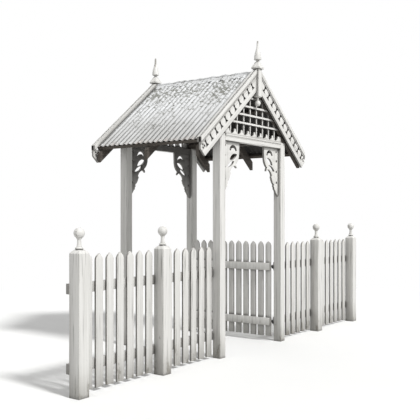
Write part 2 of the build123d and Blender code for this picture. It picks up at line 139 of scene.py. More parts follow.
def plate_mesh(outlines, thickness, place, ease):
    """Board cut to closed outlines, its edges eased, centred on the plane given."""
    curve = bpy.data.curves.new("outline", "CURVE")
    curve.dimensions = "2D"
    curve.fill_mode = "BOTH"
    curve.extrude = thickness / 2 - ease
    curve.bevel_depth = ease
    curve.bevel_resolution = 1
    curve.offset = -ease
    for points in outlines:
        spline = curve.splines.new("POLY")
        spline.points.add(len(points) - 1)
        for spot, (x, y) in zip(spline.points, points):
            spot.co = (x, y, 0, 1)
        spline.use_cyclic_u = True
    holder = bpy.data.objects.new("outline", curve)
    mesh = bpy.data.meshes.new_from_object(holder)
    bpy.data.objects.remove(holder)
    bpy.data.curves.remove(curve)
    shape = bmesh.new()
    shape.from_mesh(mesh)
    bmesh.ops.remove_doubles(shape, verts=shape.verts, dist=WELD_REACH)
    bmesh.ops.recalc_face_normals(shape, faces=shape.faces)
    bmesh.ops.transform(shape, matrix=place, verts=shape.verts)
    return finished(shape)


def facing_plates(layers, end, ease):
    """Boards that face the street or the garden, from (outlines, thickness, y) layers."""
    parts = []
    for outlines, thickness, y in layers:
        place = upright((0, end * y, 0), (0, end, 0))
        parts.append(plate_mesh(outlines, thickness, place, ease))
    return parts


def close_rings(shape, rings):
    """Faces between rings of vertices and over both ends."""
    for lower, upper in zip(rings, rings[1:]):
        for n in range(len(lower)):
            m = (n + 1) % len(lower)
            shape.faces.new((lower[n], lower[m], upper[m], upper[n]))
    shape.faces.new(reversed(rings[0]))
    shape.faces.new(rings[-1])


def lathe_mesh(profile, centre=(0, 0, 0), steps=48):
    """Turned shape from (radius, height) pairs."""
    shape = bmesh.new()
    turns = [2 * math.pi * n / steps for n in range(steps)]
    rings = []
    for radius, height in profile:
        ring = [(radius * math.cos(t), radius * math.sin(t), height) for t in turns]
        rings.append([shape.verts.new(corner) for corner in ring])
    close_rings(shape, rings)
    bmesh.ops.translate(shape, vec=centre, verts=shape.verts)
    return finished(shape)


def stack_mesh(levels, centre, corner=0.003):
    """Square post through (side, height) pairs, its arrises rounded by three points each."""
    shape = bmesh.new()
    rings = []
    for side, height in levels:
        half = side / 2 - corner
        ring = []
        for n, (right, back) in enumerate(((1, 1), (-1, 1), (-1, -1), (1, -1))):
            for turn in (math.pi / 2 * (n + share) for share in (0, 0.5, 1)):
                x = centre[0] + right * half + corner * math.cos(turn)
                y = centre[1] + back * half + corner * math.sin(turn)
                ring.append(shape.verts.new((x, y, height)))
        rings.append(ring)
    close_rings(shape, rings)
    return finished(shape)


def dome_mesh(radius, height, place, steps=12):
    """Low round head of a nail, screw or bolt."""
    shares = ((1, 0), (0.92, 0.45), (0.6, 0.85), (0.15, 1))
    profile = [(radius * across, height * up) for across, up in shares]
    mesh = lathe_mesh(profile, steps=steps)
    mesh.transform(place)
    return mesh


def ball_arc(radius, centre, first, last, step=8):
    """Outline of a ball from one angle to another in degrees, as (radius, height) pairs."""
    turns = [math.radians(angle) for angle in range(first, last, step)]
    return [(radius * math.cos(turn), centre + radius * math.sin(turn)) for turn in turns]


def gather(parts):
    """One mesh from many, each part with its own number in the board attribute."""
    whole = bmesh.new()
    number = whole.verts.layers.float.new("board")
    for part in parts:
        first = len(whole.verts)
        whole.from_mesh(part)
        whole.verts.ensure_lookup_table()
        value = random.random()
        for vertex in whole.verts[first:]:
            vertex[number] = value
    return finished(whole)


def piece(name, mesh, material, node=None, body=GATEHOUSE, smooth=30):
    """Makes a mesh one piece of the object, in place of the node given."""
    mesh.name = name
    mesh.materials.clear()
    mesh.materials.append(material)
    mesh.polygons.foreach_set("use_smooth", [True] * len(mesh.polygons))
    mesh.set_sharp_from_angle(angle=math.radians(smooth))
    made = add_object(name, mesh)
    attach(made, body)
    if node:
        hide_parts(node)


# Materials
class Nodes:
    """Short names for the shader nodes that the materials use."""

    def __init__(self, name):
        self.material = bpy.data.materials.new(name)
        self.material.use_nodes = True
        self.tree = self.material.node_tree
        self.shader = self.tree.nodes["Principled BSDF"]

    def add(self, kind, values=None, **settings):
        """New node with its inputs filled by name or number, and with its settings."""
        node = self.tree.nodes.new("ShaderNode" + kind)
        for key, value in settings.items():
            setattr(node, key, value)
        return self.fill(node, values or {})

    def fill(self, node, values):
        """Sets inputs of a node, or links them to another node's output."""
        for key, value in values.items():
            if isinstance(value, bpy.types.NodeSocket):
                self.tree.links.new(value, node.inputs[key])
            else:
                node.inputs[key].default_value = value
        return node

    def place(self):
        """Place in the frame."""
        return self.add("TexCoord").outputs["Object"]

    def axis(self, name, vector):
        """X, Y or Z of a vector."""
        return self.add("SeparateXYZ", {"Vector": vector}).outputs[name]

    def coordinates(self, scale, turn=(0, 0, 0), shift=None):
        """Place in the frame, turned so that Z follows the grain, then stretched."""
        where = self.place()
        if turn != (0, 0, 0):
            rotate = self.add("Mapping", {"Vector": where, "Rotation": turn})
            where = rotate.outputs["Vector"]
        stretch = self.add("Mapping", {"Vector": where, "Scale": scale})
        if shift is None:
            return stretch.outputs["Vector"]
        ends = {0: stretch.outputs["Vector"], 1: shift}
        return self.add("VectorMath", ends, operation="ADD").outputs["Vector"]

    def noise(self, where, scale=1.0, detail=4.0, rough=0.5, distortion=0.0):
        values = {"Vector": where, "Scale": scale, "Detail": detail, "Roughness": rough}
        values["Distortion"] = distortion
        return self.add("TexNoise", values).outputs["Fac"]

    def attribute(self, name):
        """Value that the mesh carries at its corners."""
        return self.add("Attribute", attribute_name=name).outputs["Fac"]

    def ramp(self, value, low, high, start=0.0, end=1.0):
        """Value between low and high, drawn out to run from start to end."""
        values = {"Value": value, "From Min": low, "From Max": high}
        values.update({"To Min": start, "To Max": end})
        return self.add("MapRange", values, clamp=True).outputs["Result"]

    def maths(self, operation, first, second=0.0):
        return self.add("Math", {0: first, 1: second}, operation=operation).outputs["Value"]

    def times(self, first, second):
        return self.maths("MULTIPLY", first, second)

    def plus(self, first, second):
        return self.maths("ADD", first, second)

    def mix(self, factor, first, second):
        """Colour between two, which are inputs 6 and 7 of the node."""
        values = {"Factor": factor, 6: first, 7: second}
        return self.add("Mix", values, data_type="RGBA").outputs[2]

    def bump(self, height, strength, distance):
        """Normal bent by a height."""
        values = {"Height": height, "Strength": strength, "Distance": distance}
        return self.add("Bump", values).outputs["Normal"]

    def arris(self, reach):
        """One along sharp edges, nothing on flat faces."""
        rounded = self.add("Bevel", {"Radius": reach}, samples=4)
        square = self.add("NewGeometry").outputs["Normal"]
        ends = {0: rounded.outputs["Normal"], 1: square}
        turn = self.add("VectorMath", ends, operation="DOT_PRODUCT")
        return self.ramp(turn.outputs["Value"], 0.80, 0.99, 1.0, 0.0)

    def edges(self, flat):
        """Painted shade mask: one on a board's sawn edges, when its wide faces look along the
        axis given.

        An edge that looks up, towards the light, gets little of this painted shade.
        """
        facing = self.add("TexCoord").outputs["Normal"]
        aside = self.maths("ABSOLUTE", self.axis(flat, facing))
        below = self.ramp(self.axis("Z", facing), 0.66, 0.76, 1.0, 0.15)
        return self.times(self.ramp(aside, 0.45, 0.85, 1.0, 0.0), below)

    def occlusion_shade(self, reach):
        """Painted shade mask from ambient occlusion: one deep in corners and joints, nothing on
        open faces.
        """
        shade = self.add("AmbientOcclusion", {"Distance": reach}, samples=8)
        return self.ramp(shade.outputs["AO"], 0.35, 0.9, 1.0, 0.0)

    def finish(self, colour, roughness, normal, metallic=0.0):
        """The material, with these on its shader."""
        self.fill(self.shader, {"Base Color": colour, "Normal": normal})
        self.fill(self.shader, {"Roughness": roughness, "Metallic": metallic})
        return self.material


GRAIN_TURNS = {
    "z": (0, 0, 0),
    "x": (0, math.pi / 2, 0),
    "y": (math.pi / 2, 0, 0),
    "slope_left": (0, math.pi / 2 + PITCH, 0),
    "slope_right": (0, math.pi / 2 - PITCH, 0),
}
WHITE_PAINT = (0.78, 0.772, 0.745, 1)
CHALKED_PAINT = (0.66, 0.65, 0.62, 1)
# Dark for the checks in the paint, and for painted shade under the roof and in joints.
GRIME_AND_SHADE = (0.085, 0.08, 0.074, 1)
SILVERED_WOOD = (0.27, 0.25, 0.22, 1)
# Painted shade on sawn edges.
SAWN_SIDE_SHADE = (0.13, 0.122, 0.11, 1)
SPLASHED_MUD = (0.34, 0.32, 0.27, 1)
OLD_TIMBER = (0.045, 0.038, 0.031, 1)
OLD_TIMBER_LIGHT = (0.105, 0.09, 0.076, 1)
# Painted shade in the corners of the roof timbers.
TIMBER_OCCLUSION_SHADE = (0.03, 0.026, 0.022, 1)
ZINC = (0.69, 0.70, 0.71, 1)
ZINC_BRIGHT = (0.77, 0.78, 0.785, 1)
ZINC_SOOTY = (0.50, 0.50, 0.49, 1)
ZINC_STAINED = (0.40, 0.395, 0.38, 1)
FURROW_DIRT = (0.13, 0.13, 0.125, 1)
EAVE_RUST = (0.30, 0.17, 0.10, 1)
LICHEN_PALE = (0.20, 0.20, 0.165, 1)
LICHEN_DARK = (0.10, 0.102, 0.09, 1)
# Near black for the painted shade under the roof iron.
UNDERSIDE_SHADE_ZINC = (0.045, 0.043, 0.04, 1)
BLACK_PAINT = (0.022, 0.022, 0.024, 1)
HINGE_RUST = (0.12, 0.05, 0.025, 1)


def roof_shade_share(n, height):
    """Share of painted shade on the faces inside the gatehouse, growing towards the roof."""
    share = n.ramp(height, BEAM_FOOT - 0.88, BEAM_FOOT - 0.30, 0.0, 0.94)
    for name, limit in (("X", INNER_X), ("Y", POST_Y - 0.008)):
        off_centre = n.maths("ABSOLUTE", n.axis(name, n.place()))
        share = n.times(share, n.ramp(off_centre, limit - 0.006, limit, 1.0, 0.0))
    return share


def board_shift(n):
    """Offset that gives each board its own stretch of grain."""
    apart = n.times(n.attribute("board"), 37.0)
    return n.add("CombineXYZ", {"X": apart, "Y": apart}).outputs["Vector"]


def worn_edge_shaded_paint(n, tone, flaked, patches, flat):
    """Paint gone to silvered wood where it has flaked and on arrises, with painted shade on sawn
    edges.
    """
    worn = n.mix(n.times(flaked, 0.8), tone, SILVERED_WOOD)
    rubbed = n.times(n.arris(0.007), n.ramp(patches, 0.38, 0.56, 0.15, 0.8))
    edged = n.mix(rubbed, worn, SILVERED_WOOD)
    if flat is None:
        return edged
    # Painted shade on the sawn edges, stronger in patches.
    sawn = n.times(n.edges(flat), n.ramp(patches, 0.30, 0.60, 0.60, 0.88))
    return n.mix(sawn, edged, SAWN_SIDE_SHADE)


def soiled_shaded_paint(n, clean, patches, height, near_ground):
    """Paint with mud at its foot, and painted shade under the roof, in hollows and in the
    joints.
    """
    soiling = n.times(near_ground, n.ramp(patches, 0.35, 0.65, 0.1, 0.5))
    soiled = n.mix(soiling, clean, SPLASHED_MUD)
    # Painted shade: faces inside the gatehouse darkened towards the roof.
    inside_shaded = n.mix(roof_shade_share(n, height), soiled, GRIME_AND_SHADE)
    # Painted shade from ambient occlusion, broad in the hollows and deep in corners and joints.
    hollow_shaded = n.mix(n.times(n.occlusion_shade(0.35), 0.45), inside_shaded, GRIME_AND_SHADE)
    return n.mix(n.times(n.occlusion_shade(0.045), 0.9), hollow_shaded, GRIME_AND_SHADE)


def painted_timber(grain, flat=None):
    """Old white paint over softwood: brushed, checked along the grain, with painted shade in the
    joints.

    Boards whose wide faces look along the flat axis have painted shade on their sawn edges,
    stronger in patches.
    """
    n = Nodes("paint_" + grain + (flat or ""))
    shift = board_shift(n)
    turn = GRAIN_TURNS[grain]
    fibres = n.noise(n.coordinates((190, 190, 3.5), turn, shift), detail=5, rough=0.65)
    streaks = n.noise(n.coordinates((38, 38, 1.3), turn, shift), detail=4, rough=0.6)
    checks = n.noise(n.coordinates((120, 120, 2.2), turn, shift), detail=2, rough=0.4)
    patches = n.noise(n.coordinates((7, 7, 3), turn, shift), detail=8, rough=0.7)
    checked = n.times(n.ramp(checks, 0.60, 0.68), n.ramp(streaks, 0.45, 0.62))
    height = n.axis("Z", n.place())
    near_ground = n.ramp(height, 0.02, 0.30, 1.0, 0.0)
    weather_beaten = n.ramp(height, 3.56, FINIAL_TIP, 0.0, 0.30)
    exposed = n.plus(n.times(near_ground, 0.14), weather_beaten)
    flaked = n.ramp(n.plus(patches, exposed), 0.66, 0.71)
    tone = n.mix(n.ramp(streaks, 0.35, 0.70), WHITE_PAINT, CHALKED_PAINT)
    worn = worn_edge_shaded_paint(n, tone, flaked, patches, flat)
    lined = n.mix(n.times(checked, 0.75), worn, GRIME_AND_SHADE)
    colour = soiled_shaded_paint(n, lined, patches, height, near_ground)
    sunken = n.plus(n.times(flaked, 0.5), checked)
    relief = n.maths("SUBTRACT", n.times(fibres, 0.35), sunken)
    roughness = n.ramp(streaks, 0.3, 0.7, 0.42, 0.62)
    return n.finish(colour, roughness, n.bump(relief, 0.35, 0.002))


def bare_timber(grain):
    """Unpainted roof timber, brown gone grey, seen only from below."""
    n = Nodes("bare_" + grain)
    turn = GRAIN_TURNS[grain]
    rings = n.noise(n.coordinates((60, 60, 1.5), turn), detail=6, rough=0.7, distortion=0.4)
    fibres = n.noise(n.coordinates((240, 240, 5), turn), detail=4, rough=0.6)
    colour = n.mix(n.ramp(rings, 0.35, 0.68), OLD_TIMBER, OLD_TIMBER_LIGHT)
    # Painted shade in the corners of the roof timbers, from ambient occlusion.
    occlusion_shaded = n.mix(n.times(n.occlusion_shade(0.04), 0.6), colour, TIMBER_OCCLUSION_SHADE)
    return n.finish(occlusion_shaded, 0.82, n.bump(fibres, 0.4, 0.0015))


def spangled_zinc(n, place, weather, run):
    """Zinc in dull crystals, sooty in patches and towards the eave."""
    spangle = n.add("TexVoronoi", {"Vector": place, "Scale": 55})
    facets = n.ramp(spangle.outputs["Distance"], 0.1, 0.7)
    patchy = n.ramp(weather, 0.35, 0.68, 0.0, 0.45)
    sooty = n.plus(patchy, n.ramp(run, 0.4, 0.95, 0.0, 0.8))
    return n.mix(sooty, n.mix(facets, ZINC, ZINC_BRIGHT), ZINC_SOOTY)


def stained_zinc(n, zinc, weather, run):
    """Zinc streaked down the slope, with dirt along the furrows and rust at the eave."""
    across = n.times(n.attribute("flow"), 6.0)
    down = n.times(run, 1.6)
    place = n.add("CombineXYZ", {"X": across, "Y": down}).outputs["Vector"]
    washes = n.noise(place, detail=5, rough=0.6)
    streaked = n.mix(n.ramp(washes, 0.5, 0.75, 0.0, 0.40), zinc, ZINC_STAINED)
    patchy = n.ramp(weather, 0.38, 0.56, 0.80, 0.12)
    dirt = n.maths("MAXIMUM", patchy, n.ramp(run, 0.25, 0.85, 0.0, 0.9))
    furrows = n.times(n.ramp(n.attribute("furrow"), 0.66, 0.95), dirt)
    furrowed = n.mix(furrows, streaked, FURROW_DIRT)
    rust = n.times(n.ramp(run, 0.93, 1.0), n.ramp(washes, 0.45, 0.7, 0.0, 0.5))
    return n.mix(rust, furrowed, EAVE_RUST)


def roof_iron():
    """Weathered galvanised sheet: dull spangle, dark furrows and lichen towards the ridge."""
    n = Nodes("galvanised")
    place = n.coordinates((1, 1, 1))
    run = n.attribute("run")
    weather = n.noise(n.coordinates((3.2, 3.2, 3.2)), detail=6, rough=0.62)
    stained = stained_zinc(n, spangled_zinc(n, place, weather, run), weather, run)
    crust = n.noise(place, scale=24, detail=5, rough=0.65)
    grains = n.noise(place, scale=150, detail=3, rough=0.7)
    dots = n.plus(crust, n.ramp(grains, 0.3, 0.7, -0.07, 0.07))
    near_ridge = n.ramp(run, 0.15, 0.80, 0.100, -0.05)
    cover = n.plus(near_ridge, n.ramp(weather, 0.3, 0.7, -0.06, 0.06))
    lichen = n.ramp(n.plus(dots, cover), 0.59, 0.65)
    growth = n.mix(n.ramp(grains, 0.35, 0.65), LICHEN_PALE, LICHEN_DARK)
    spotted = n.mix(n.times(lichen, 0.85), stained, growth)
    # Painted shade: the undersides of the sheets and capping are made near black.
    colour = n.mix(n.attribute("under"), spotted, UNDERSIDE_SHADE_ZINC)
    dents = n.noise(place, scale=9, detail=2, rough=0.5)
    relief = n.plus(n.times(dents, 0.6), n.times(lichen, 0.5))
    roughness = n.ramp(weather, 0.3, 0.7, 0.66, 0.82)
    return n.finish(colour, roughness, n.bump(relief, 0.3, 0.002), metallic=0.15)


def hinge_iron():
    """Black painted wrought iron, lightly rusted."""
    n = Nodes("black_iron")
    where = n.coordinates((1, 1, 1))
    hammered = n.noise(where, scale=70, detail=3)
    rust = n.noise(where, scale=28, detail=6, rough=0.7)
    colour = n.mix(n.ramp(rust, 0.58, 0.7, 0, 0.75), BLACK_PAINT, HINGE_RUST)
    roughness = n.ramp(rust, 0.4, 0.7, 0.38, 0.75)
    return n.finish(colour, roughness, n.bump(hammered, 0.35, 0.001), metallic=0.4)


PAINTED = {grain: painted_timber(grain) for grain in ("x", "z")}
SAWN = {grain: painted_timber(grain, "Y") for grain in ("x", "z", "slope_left", "slope_right")}
SAWN_LEAF = painted_timber("z", "X")
BARE = {grain: bare_timber(grain) for grain in ("x", "y")}
BLACK_IRON = hinge_iron()
GALVANISED = roof_iron()


def dress(node, material, ease=EASE):
    """Finish for a node whose solid keeps its shape, with its sharp edges eased."""
    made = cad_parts[node]
    made.data.materials.clear()
    made.data.materials.append(material)
    weld = made.modifiers.new("weld", "WELD")
    weld.merge_threshold = SOLID_WELD_REACH
    eased = made.modifiers.new("ease", "BEVEL")
    eased.width = ease
    eased.segments = 2
    eased.limit_method = "ANGLE"
    eased.angle_limit = math.radians(40)
    eased.harden_normals = True


# Frame of the gatehouse
def gatehouse_frame():
    """Posts, beams and roof timbers, which keep their solids."""
    for node in ("front_left", "front_right", "rear_left", "rear_right"):
        dress("post_" + node, PAINTED["z"], ease=0.001)
    for end in ("front", "rear"):
        dress("tie_beam_" + end, PAINTED["x"])
    dress("rafters", BARE["x"])
    for node in ("wall_plate_left", "wall_plate_right", "ridge_board", "roof_battens"):
        dress(node, BARE["y"])


# Roof
SHEETS = 3
WAVES = 21
SHEET_WAVES = 8
WAVE_LAP = 1.5
WAVE = 2 * BARGE_BACK_Y / WAVES
WAVE_START = math.radians(30)
CREST_SHARE = (math.pi / 2 - WAVE_START) / (2 * math.pi)
SHEET_START = 0.105
SHEET_ROWS = 16
WAVE_COLUMNS = 12
LAP_LIFT = 0.0009
END_WANDER = 0.004
SWAY = 0.0012
CREST_PLAY = 0.0004
BATTEN_STEPS = (0.170, 0.640, 1.110, 1.440)
WASHER_SUNK = 0.0006
WASHER = (0.013, 0.0022)
SCREW_HEAD = (0.0065, 0.0065)
SHEET_ATTRIBUTES = ("furrow", "run", "flow", "under")


def wave_height(y):
    """Height of the corrugation at y, from minus one in a furrow to one on a crest."""
    return math.sin(2 * math.pi * (y + BARGE_BACK_Y) / WAVE + WAVE_START)


def slope_point(side, along, y, out):
    """Point on the left or right slope: along it from the ridge, across at y, and out."""
    aside = math.cos(PITCH) * along + math.sin(PITCH) * out
    fall = math.sin(PITCH) * along - math.cos(PITCH) * out
    return Vector((side * aside, y, RIDGE_TOP - fall))


def grid_normal(grid, row, column):
    """Direction square to a grid of points, at one of them."""
    last_row, last_column = len(grid) - 1, len(grid[0]) - 1
    down = grid[min(row + 1, last_row)][column] - grid[max(row - 1, 0)][column]
    across = grid[row][min(column + 1, last_column)] - grid[row][max(column - 1, 0)]
    return down.cross(across).normalized()


def rim(skin):
    """Vertices around the edge of a grid, in order."""
    round_two_sides = skin[0] + [line[-1] for line in skin[1:]]
    return round_two_sides + skin[-1][-2::-1] + [line[0] for line in skin[-2:0:-1]]


def marked_vertex(shape, layers, where, values):
    """New vertex that carries one value in each layer."""
    vertex = shape.verts.new(where)
    for layer, value in zip(layers, values):
        vertex[layer] = value
    return vertex


def grid_mesh(rows, columns, point):
    """Thin iron under a grid of points, with values per corner for its material."""
    shape = bmesh.new()
    layers = [shape.verts.layers.float.new(name) for name in SHEET_ATTRIBUTES]
    steps = [[(r / (rows - 1), c / (columns - 1)) for c in range(columns)] for r in range(rows)]
    made = [[point(down, across) for down, across in line] for line in steps]
    grid = [[where for where, _ in line] for line in made]
    inward = 1 if grid_normal(grid, rows // 2, columns // 2).z < 0 else -1
    skins = []
    for depth, under in ((0.0, 0.0), (SHEET_THICKNESS, 1.0)):
        skin = []
        for r in range(rows):
            line = []
            for c in range(columns):
                where = grid[r][c] + grid_normal(grid, r, c) * (inward * depth)
                line.append(marked_vertex(shape, layers, where, (*made[r][c][1], under)))
            skin.append(line)
        for upper, lower in zip(skin, skin[1:]):
            for n in range(columns - 1):
                shape.faces.new((upper[n], lower[n], lower[n + 1], upper[n + 1]))
        skins.append(skin)
    above, below = [rim(skin) for skin in skins]
    for n in range(len(above)):
        shape.faces.new((above[n - 1], above[n], below[n], below[n - 1]))
    bmesh.ops.recalc_face_normals(shape, faces=shape.faces)
    return finished(shape)


def sheet_mesh(side, number):
    """One corrugated sheet, lapped over its neighbour and a little uneven."""
    first = number * (SHEET_WAVES - WAVE_LAP) * WAVE - BARGE_BACK_Y
    width = SHEET_WAVES * WAVE
    end = EAVE_SHEET_X / math.cos(PITCH) - END_WANDER * random.random()
    lift = LAP_LIFT * (number % 2)

    def point(down, across):
        y = first + across * width
        along = SHEET_START + down * (end - SHEET_START)
        crest = wave_height(y)
        sway = SWAY * noise.noise(Vector((y * 2.3, along * 2.1, side * 5.0)))
        middle = -CAP_THICKNESS - CORRUGATION / 2
        out = middle + crest * (CORRUGATION / 2 - CREST_PLAY) + lift + sway
        return slope_point(side, along, y, out), ((1 - crest) / 2, down, y / WAVE)

    return grid_mesh(SHEET_ROWS, SHEET_WAVES * WAVE_COLUMNS + 1, point)


def roof_sheets():
    """Three lapped sheets on each slope."""
    for side, node in ((-1, "roof_sheet_left"), (1, "roof_sheet_right")):
        parts = [sheet_mesh(side, number) for number in range(SHEETS)]
        piece(node + "_iron", gather(parts), GALVANISED, node, smooth=50)


def roof_screws():
    """Screws with washers through every second crest into the battens."""
    heads = []
    for side in (-1, 1):
        out = Vector((side * math.sin(PITCH), 0, math.cos(PITCH)))
        turn = out.to_track_quat("Z", "Y").to_matrix().to_4x4()
        for along in BATTEN_STEPS:
            for wave in range(0, WAVES, 2):
                y = -BARGE_BACK_Y + (wave + CREST_SHARE) * WAVE
                spot = slope_point(side, along, y, -CAP_THICKNESS - WASHER_SUNK)
                place = Matrix.Translation(spot) @ turn
                heads.append(dome_mesh(*WASHER, place))
                heads.append(dome_mesh(*SCREW_HEAD, place))
    piece("roof_screws", gather(heads), GALVANISED)


# Ridge capping, its wings given by shares of their width
WAVE_ROWS = 8
WING_SHARES = (1, 0.86, 0.72, 0.55, 0.4, 0.28)
FLAT_WING = 0.45
WING_LIFT = 0.0018
WING_WANDER = 0.03
DRESSED_SHARE = 0.8
WING_RUN = 0.4
ROLL_FURROW = 0.15
RIDGE_WANDER = 0.013
ROLL_WANDER = 1.1


def ridge_capping():
    """Rolled ridge capping, its wings beaten down into the corrugations."""
    half_length = ridge_high.y
    wing = (ridge_high.x - BOX_MARGIN) / math.cos(PITCH)
    ridge_crest = roof_z(0, CAP_THICKNESS)
    roll = ridge_high.z - ridge_crest - BOX_MARGIN
    profile = [(-1, share) for share in WING_SHARES]
    profile += [("roll", math.radians(angle)) for angle in range(222, -43, -12)]
    profile += [(1, share) for share in reversed(WING_SHARES)]

    def point(across, down):
        y = -half_length + across * 2 * half_length
        kind, value = profile[round(down * (len(profile) - 1))]
        wander = RIDGE_WANDER * noise.noise(Vector((y * 11, 3.1, 0)))
        if kind == "roll":
            radius = roll + ROLL_WANDER * wander
            height = ridge_crest + radius * math.sin(value) - BOX_MARGIN
            where = Vector((radius * math.cos(value), y, height))
            return where, (ROLL_FURROW, WING_RUN, y / WAVE)
        dressed = max(0.0, (value - FLAT_WING) / (1 - FLAT_WING)) ** 1.5
        furrow = dressed * (1 - wave_height(y))
        ragged = 1 + WING_WANDER * noise.noise(Vector((y * 16, kind, 1.7)))
        sink = furrow / 2 * CORRUGATION * DRESSED_SHARE
        out = -CAP_THICKNESS + WING_LIFT - sink + wander * (0.3 + value)
        where = slope_point(kind, wing * value * ragged, y, out)
        return where, (furrow / 3, WING_RUN, y / WAVE)

    mesh = grid_mesh(WAVES * WAVE_ROWS + 1, len(profile), point)
    piece("ridge_capping_roll", mesh, GALVANISED, "ridge_capping", smooth=50)


# Sawn edges
def arc_points(start, middle, end, steps=8):
    """Points of the arc through three points, the first one left out."""
    ax, ay = start
    bx, by = middle[0] - ax, middle[1] - ay
    cx, cy = end[0] - ax, end[1] - ay
    cross = 2 * (bx * cy - by * cx)
    if abs(cross) < 1e-9:
        return [end]
    b2, c2 = bx * bx + by * by, cx * cx + cy * cy
    ox, oy = (cy * b2 - by * c2) / cross, (bx * c2 - cx * b2) / cross
    radius = math.hypot(ox, oy)
    first = math.atan2(-oy, -ox)
    last = math.atan2(cy - oy, cx - ox)
    half = math.atan2(by - oy, bx - ox)
    sweep = (last - first) % (2 * math.pi)
    if (half - first) % (2 * math.pi) > sweep:
        sweep -= 2 * math.pi
    turns = [first + sweep * n / steps for n in range(1, steps + 1)]
    return [(ax + ox + radius * math.cos(t), ay + oy + radius * math.sin(t)) for t in turns]


def arcs(*points):
    """Outline of arcs that join end to end, each given by its start, middle and end."""
    line = [points[0]]
    for start, middle, end in zip(points[::2], points[1::2], points[2::2]):
        line += arc_points(start, middle, end)
    return line


def round_hole(centre, radius, steps=24):
    """Outline of a drilled hole."""
    turns = [2 * math.pi * n / steps for n in range(steps)]
    return [(centre[0] + radius * math.cos(t), centre[1] + radius * math.sin(t)) for t in turns]


def mirrored(outlines, side):
    """Outlines as they are for a side of one, turned left to right for minus one."""
    return [[(side * x, y) for x, y in outline] for outline in outlines]


# Bargeboards
BARGE_DEPTH = 0.268
BARGE_END_CUT = 0.130
BARGE_TIP_INSET = 0.080
BARGE_THICKNESS = 0.026
DISC_RADIUS = 0.050
DISC_PITCH = 0.120
DISC_GAPS = 11
CHAIN_START = 0.185
CHAIN_DEPTH = 0.136
BAND_HALF = 0.044
TREFOIL_ALONG = 1.448
TREFOIL_SPREAD = 0.020
TREFOIL_HOLE = 0.013
BEAD_DEPTHS = (0.048, 0.061)
BEAD_HEIGHT = 0.007
BEAD_THICKNESS = 0.009
BEAD_PROUD = 0.002


def on_slope(along, drop):
    """Point on the bargeboard's face: along the slope from the ridge, and straight down."""
    x = along * math.cos(PITCH)
    return (x, roof_z(x) - drop)


def disc_gap(along):
    """Sawn gap between two discs of the chain."""
    steps = 8
    edge = []
    for n in range(steps + 1):
        height = BAND_HALF * (1 - 2 * n / steps)
        edge.append((DISC_PITCH / 2 - math.sqrt(DISC_RADIUS**2 - height**2), height))
    outline = edge + [(-across, height) for across, height in reversed(edge)]
    x, z = on_slope(along, CHAIN_DEPTH)
    c, s = math.cos(PITCH), math.sin(PITCH)
    return [(x + c * across + s * up, z - s * across + c * up) for across, up in outline]


def trefoil(along):
    """Three drilled holes near the board's foot."""
    x, z = on_slope(along, CHAIN_DEPTH)
    turns = [math.radians(turn) - PITCH for turn in (90, 210, 330)]
    reach = TREFOIL_SPREAD
    centres = [(x + reach * math.cos(t), z + reach * math.sin(t)) for t in turns]
    return [round_hole(centre, TREFOIL_HOLE) for centre in centres]


def strip(upper, lower):
    """Outline of a strip along the bargeboard, between two depths under its top."""
    ends = (FINIAL_HALF, EAVE_X)
    above = [(x, roof_z(x, upper)) for x in ends]
    return above + [(x, roof_z(x, lower)) for x in ends[::-1]]


def bargeboard(node, side, end):
    """Pierced board, beads along its face and a capping over the edge of the roof."""
    foot = EAVE_X - BARGE_TIP_INSET
    outline = [
        (FINIAL_HALF, roof_z(FINIAL_HALF)),
        (EAVE_X, roof_z(EAVE_X)),
        (EAVE_X, roof_z(EAVE_X) - BARGE_END_CUT),
        (foot, roof_z(foot) - BARGE_DEPTH),
        (FINIAL_HALF, roof_z(FINIAL_HALF) - BARGE_DEPTH),
    ]
    holes = [disc_gap(CHAIN_START + n * DISC_PITCH) for n in range(DISC_GAPS)]
    holes += trefoil(TREFOIL_ALONG)
    layers = [([outline] + holes, BARGE_THICKNESS, BARGE_BACK_Y + BARGE_THICKNESS / 2)]
    cap_back, cap_front = FINIAL_Y - FINIAL_HALF, CAP_FRONT_Y
    capping = strip(0, CAP_THICKNESS)
    layers.append(([capping], cap_front - cap_back, (cap_front + cap_back) / 2))
    bead_y = BARGE_BACK_Y + BARGE_THICKNESS + BEAD_PROUD
    for depth in BEAD_DEPTHS:
        layers.append(([strip(depth, depth + BEAD_HEIGHT)], BEAD_THICKNESS, bead_y))
    layers = [(mirrored(outlines, -side * end), *rest) for outlines, *rest in layers]
    mesh = gather(facing_plates(layers, end, ease=0.0018))
    grain = "slope_right" if side > 0 else "slope_left"
    piece(node + "_board", mesh, SAWN[grain], node)


# Finials, their profiles as (radius, height) pairs
FINIAL_FOOT = 3.044
FOOT_CHAMFER = 0.012
SHOULDER = 3.396
HEAD_SIDE = 0.114
HEAD_SOFTENING = 0.004
HEAD_TOP = SHOULDER + 0.012
PYRAMID_TOP = HEAD_TOP + 0.066
PYRAMID_RISE = PYRAMID_TOP - HEAD_TOP
NECK_RADIUS = 0.022
BELL_FOOT = PYRAMID_TOP + 0.026
BELL_TOP = BELL_FOOT + 0.140
BELL_PROFILE = (
    (0.036, -0.003), (0.045, 0.003), (0.0445, 0.012), (0.043, 0.03), (0.040, 0.055),
    (0.033, 0.085), (0.024, 0.115), (0.0160, 0.140), (0.0132, 0.158),
)
SPIKE_PROFILE = ((0.0095, -0.010), (0.0078, -0.004), (0.003, -0.001))
PENDANT_RADIUS = 0.036
PENDANT_NECK = 0.012


